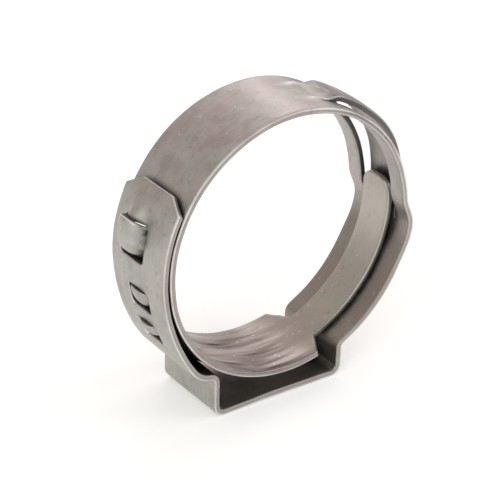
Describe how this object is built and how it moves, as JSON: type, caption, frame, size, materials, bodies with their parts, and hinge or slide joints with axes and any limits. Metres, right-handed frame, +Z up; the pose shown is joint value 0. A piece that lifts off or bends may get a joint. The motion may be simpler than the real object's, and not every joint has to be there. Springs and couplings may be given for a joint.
{
  "type": "stepless ear hose clamp",
  "caption": "One-piece ring clamp bent from steel strip, latched by lanced hooks in windows, with a closing ear to pinch and a tongue under the ear for an even bore.",
  "frame": {"origin": "centre of the clamp's bore, half way along its width", "axes": "+Y along the bore axis, away from the viewer of the latch side's near edge; +Z up, the ear at the bottom; +X to the side the tongue's tip points to"},
  "size_m": [0.0267, 0.0076, 0.0266],
  "materials": {
    "strip": "satin"
  },
  "bodies": {
    "root": {"clamp_band": "strip"}
  },
  "joints": []
}
